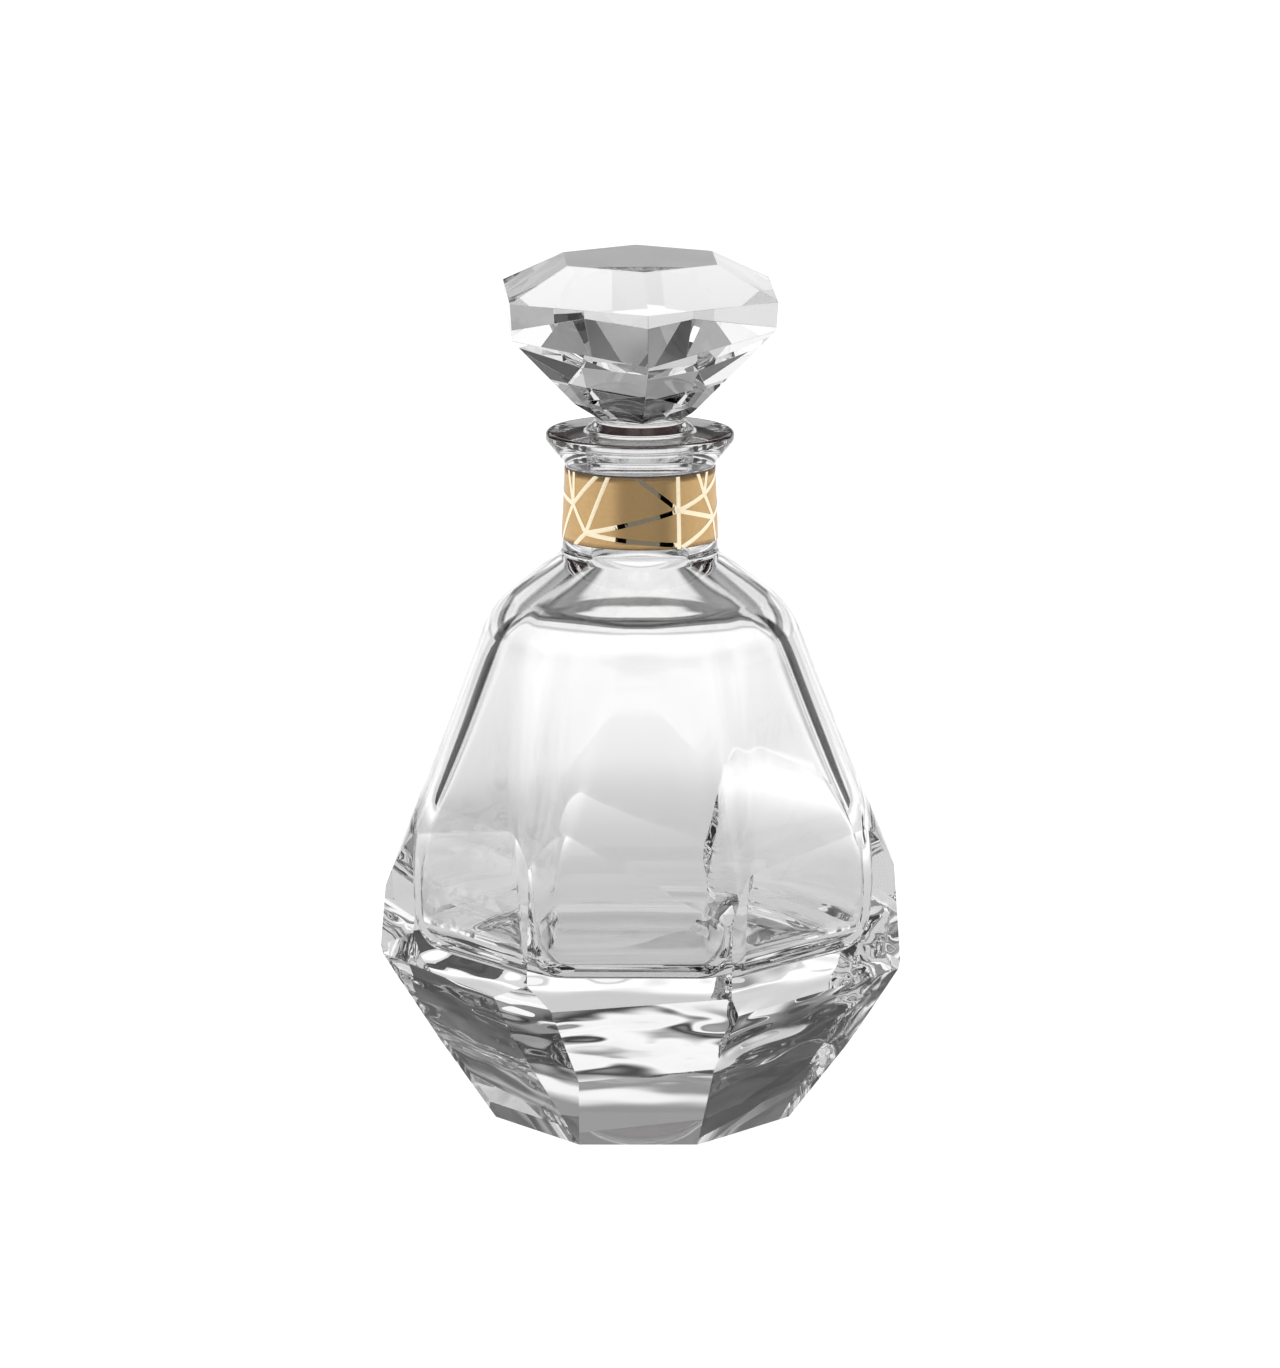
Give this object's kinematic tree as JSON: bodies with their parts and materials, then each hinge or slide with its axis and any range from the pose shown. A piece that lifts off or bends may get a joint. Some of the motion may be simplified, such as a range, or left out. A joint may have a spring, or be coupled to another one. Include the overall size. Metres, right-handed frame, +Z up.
{
  "type": "cut crystal decanter",
  "caption": "Six-sided pear-shaped crystal decanter with a faceted foot, a gilded neck band and a gem-shaped ground glass stopper.",
  "frame": {"origin": "centre of the foot's flat underside, on the surface that the decanter stands on", "axes": "+Z up along the axis of the neck, -Y towards the front flat of the body, +X to the front's right"},
  "size_m": [0.1489, 0.1259, 0.25],
  "materials": {
    "bottle_glass": "clear polished crystal",
    "stopper_glass": "clear polished crystal",
    "satin_gold": "satin gilding",
    "bright_gold": "bright polished gilding"
  },
  "bodies": {
    "bottle": {"crystal_bottle": "bottle_glass", "gold_band": "satin_gold", "gold_band_lines": "bright_gold"},
    "stopper": {"crystal_stopper": "stopper_glass"}
  },
  "joints": [
    {"name": "stopper_lift", "type": "slide", "parent": "bottle", "child": "stopper", "axis": [0, 0, 1], "range_m": [0, 0.05]}
  ]
}
